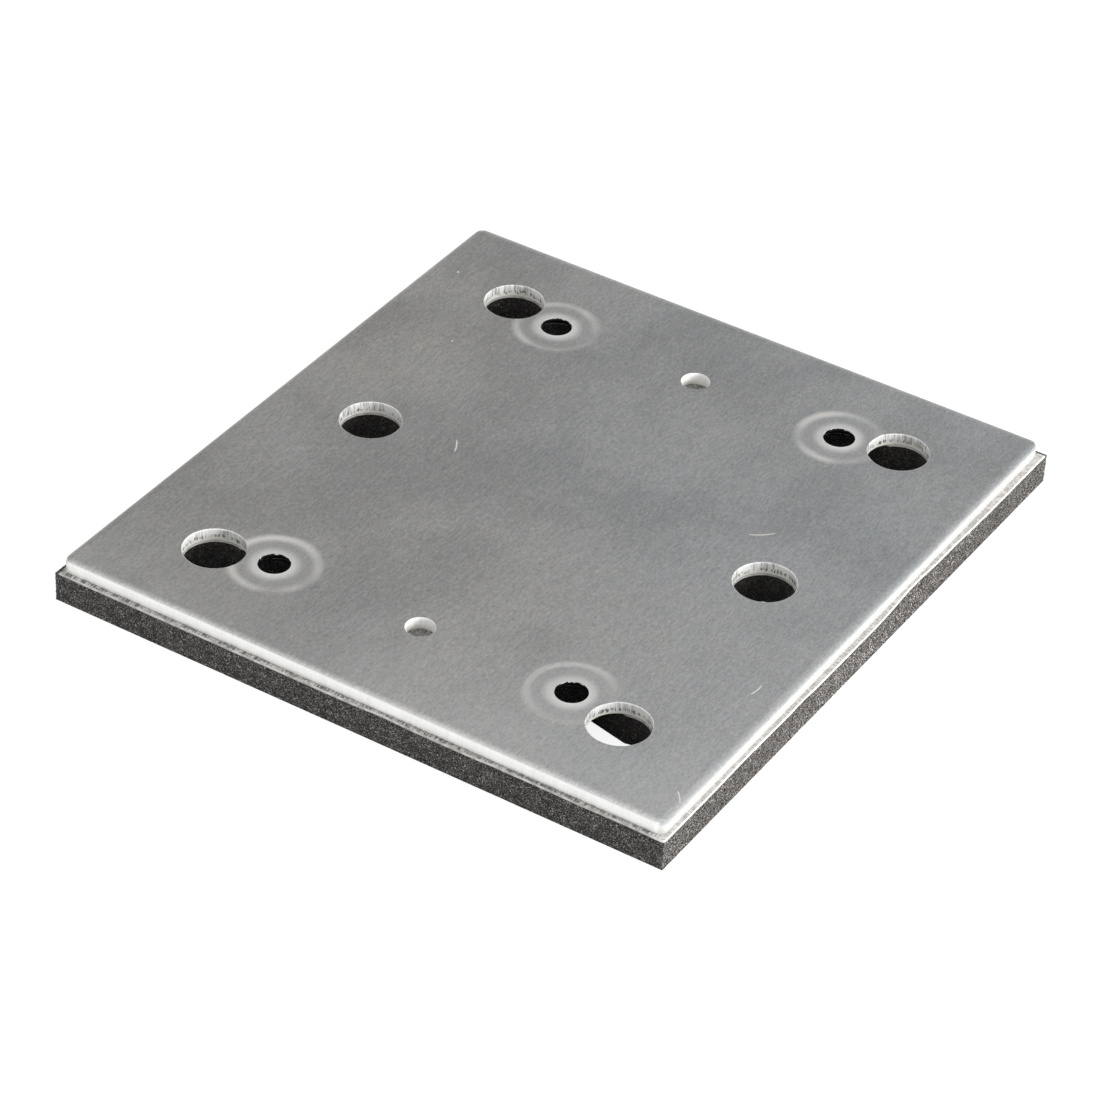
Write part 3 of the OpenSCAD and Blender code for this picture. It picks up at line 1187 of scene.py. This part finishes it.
def towards(azimuth, elevation):
    """The direction at an azimuth, turned from -Y towards +X, and a height above the horizon."""
    level = math.cos(elevation)
    return Vector((math.sin(azimuth) * level, -math.cos(azimuth) * level, math.sin(elevation)))


def softbox(name, azimuth, elevation, distance, size, level):
    """A square lamp aimed at the object. Alone, it would make a white card facing it this bright."""
    away = towards(math.radians(azimuth), math.radians(elevation))
    lamp = bpy.data.lights.new(name, "AREA")
    lamp.shape = "SQUARE"
    lamp.size = size
    lamp.energy = level * (math.pi * distance) ** 2
    obj = bpy.data.objects.new(name, lamp)
    bpy.context.scene.collection.objects.link(obj)
    turn = away.to_track_quat("Z", "Y").to_matrix().to_4x4()
    obj.matrix_world = Matrix.Translation(away * distance) @ turn
    return obj


def place_camera():
    """The camera at the photograph's place, turned a little about its own axis."""
    stage = bpy.context.scene.stage_sizes
    a = stage.azimuth
    back = towards(a, stage.elevation)
    level_right = Vector((math.cos(a), math.sin(a), 0))
    level_up = back.cross(level_right)
    right = level_right * math.cos(stage.roll) + level_up * math.sin(stage.roll)
    up = back.cross(right)
    data = bpy.data.cameras.new("camera")
    data.lens = stage.lens
    data.clip_start = 0.01
    data.clip_end = 50.0
    camera = bpy.data.objects.new("camera", data)
    bpy.context.scene.collection.objects.link(camera)
    turn = Matrix((right, up, back)).transposed().to_4x4()
    camera.matrix_world = Matrix.Translation(Vector(stage.aim) + back * stage.distance) @ turn
    bpy.context.scene.camera = camera


class PLATE_OT_stage(bpy.types.Operator):
    """Makes the pale floor, the studio light and the camera"""

    bl_idname = "backing_plate.make_stage"
    bl_label = "Stage"

    def execute(self, context):
        bm = bmesh.new()
        half = context.scene.stage_sizes.floor_size / 2
        below = Matrix.Translation((0, 0, -FLOOR_DROP))
        bmesh.ops.create_grid(bm, x_segments=1, y_segments=1, size=half, matrix=below)
        floor = add_object("floor", bm, [floor_material()])
        studio_world()
        key = softbox("key_lamp", azimuth=100, elevation=12, distance=1.2, size=0.7, level=1.55)
        key.visible_glossy = False
        place_camera()
        context.scene.view_settings.view_transform = "Standard"
        return {"FINISHED"}


class PLATE_PT_panel(bpy.types.Panel):
    """The steps that build the backing plate, with their sizes and colours"""

    bl_idname = "PLATE_PT_panel"
    bl_label = "Backing Plate"
    bl_space_type = "VIEW_3D"
    bl_region_type = "UI"
    bl_category = "Backing Plate"

    def draw(self, context):
        scene = context.scene
        for group, steps in PANEL_ROWS:
            box = self.layout.box()
            settings = getattr(scene, group)
            for key in settings.bl_rna.properties.keys():
                if key not in ("rna_type", "name"):
                    box.prop(settings, key)
            for step in steps:
                box.operator(step)


GROUPS = {
    "plate_sizes": PlateSizes,
    "pad_sizes": PadSizes,
    "finishes": Finishes,
    "stage_sizes": StageSizes,
}
OPERATORS = [PLATE_OT_stage, PLATE_OT_foam_pad, PLATE_OT_adhesive_film, PLATE_OT_backing_plate]
PANEL_ROWS = [
    ("plate_sizes", [PLATE_OT_backing_plate.bl_idname]),
    ("pad_sizes", [PLATE_OT_foam_pad.bl_idname, PLATE_OT_adhesive_film.bl_idname]),
    ("finishes", []),
    ("stage_sizes", [PLATE_OT_stage.bl_idname]),
]


def register():
    for cls in (*GROUPS.values(), *OPERATORS, PLATE_PT_panel):
        bpy.utils.register_class(cls)
    for name, cls in GROUPS.items():
        setattr(bpy.types.Scene, name, bpy.props.PointerProperty(type=cls))


def unregister():
    for name in GROUPS:
        delattr(bpy.types.Scene, name)
    for cls in reversed((*GROUPS.values(), *OPERATORS, PLATE_PT_panel)):
        bpy.utils.unregister_class(cls)


def main():
    register()
    for operator in OPERATORS:
        family, name = operator.bl_idname.split(".")
        getattr(getattr(bpy.ops, family), name)()


if __name__ == "__main__":
    main()
